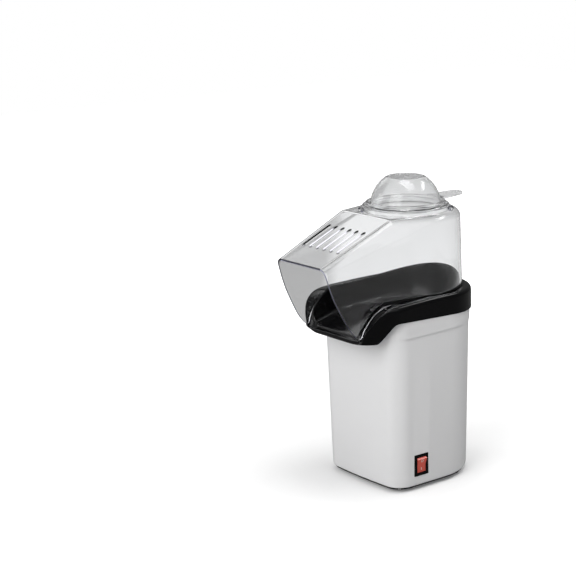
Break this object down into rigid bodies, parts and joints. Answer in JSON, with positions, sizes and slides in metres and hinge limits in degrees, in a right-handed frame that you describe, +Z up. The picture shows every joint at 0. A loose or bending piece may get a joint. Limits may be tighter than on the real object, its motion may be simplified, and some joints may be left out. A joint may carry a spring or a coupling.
{
  "type": "popcorn maker",
  "caption": "Hot-air popcorn maker with a white casing, black pouring collar, clear lift-off hood, clear measuring cup as its lid and a rocker switch.",
  "frame": {"origin": "on the table, under the centre of the whole machine's footprint box", "axes": "+Z up, -Y towards the pouring spout, +X towards the side with the switch"},
  "size_m": [0.1224, 0.193, 0.3],
  "materials": {
    "white_plastic": "satin moulded white",
    "black_matt_plastic": "moulded matt black",
    "black_gloss_plastic": "high gloss black",
    "rubber": "soft matt",
    "silicone": "matt red-brown",
    "steel": "zinc plated",
    "tinned_sheet": "tinned sheet",
    "aluminium": "drawn and satin",
    "mica": "flaky mica sheet",
    "resistance_wire": "oxidised wire",
    "magnet": "ferrite",
    "bronze": "sintered bronze",
    "brass": "tinned brass",
    "nylon": "natural nylon",
    "circuit_board": "solder mask",
    "armature": "steel core with copper windings",
    "red_plastic": "translucent red",
    "lead_sleeve": "silicone sleeve",
    "clear_plastic": "clear moulded, glossy",
    "clear_cup_plastic": "clear moulded, glossy"
  },
  "bodies": {
    "base": {"casing": "white_plastic", "base_cover": "black_matt_plastic", "rubber_feet": "rubber", "base_screws": "steel", "collar": "black_gloss_plastic", "flange_screws": "steel", "chamber_gasket": "silicone", "popping_chamber": "aluminium", "heater_housing": "tinned_sheet", "mica_frame": "mica", "heating_coil": "resistance_wire", "thermostat": "black_matt_plastic", "thermal_fuse": "steel", "motor_bracket": "steel", "motor_screws": "steel", "motor_can": "steel", "motor_magnets": "magnet", "motor_bushes": "bronze", "motor_end_cap": "nylon", "rectifier_board": "circuit_board", "rectifier_diodes": "black_matt_plastic", "switch_housing": "black_gloss_plastic", "switch_terminals": "brass", "cord_gland": "rubber", "terminal_block": "nylon", "inner_leads": "lead_sleeve"},
    "rotor": {"motor_shaft": "steel", "motor_armature": "armature", "fan_impeller": "black_matt_plastic"},
    "rocker": {"switch_rocker": "red_plastic"},
    "hood": {"hood": "clear_plastic"},
    "cup": {"measuring_cup": "clear_cup_plastic"}
  },
  "joints": [
    {"name": "fan_spin", "type": "hinge", "parent": "base", "child": "rotor", "pos_m": [0, 0.0335, 0.05], "axis": [0, 0, 1], "continuous": true},
    {"name": "rocker_tilt", "type": "hinge", "parent": "base", "child": "rocker", "pos_m": [0.0544, 0.0001, 0.0256], "axis": [0, -1, 0], "range_deg": [0, 20]},
    {"name": "hood_lift", "type": "slide", "parent": "base", "child": "hood", "axis": [0, 0, 1], "range_m": [0, 0.06]},
    {"name": "cup_lift", "type": "slide", "parent": "hood", "child": "cup", "axis": [0, 0, 1], "range_m": [0, 0.05]}
  ]
}
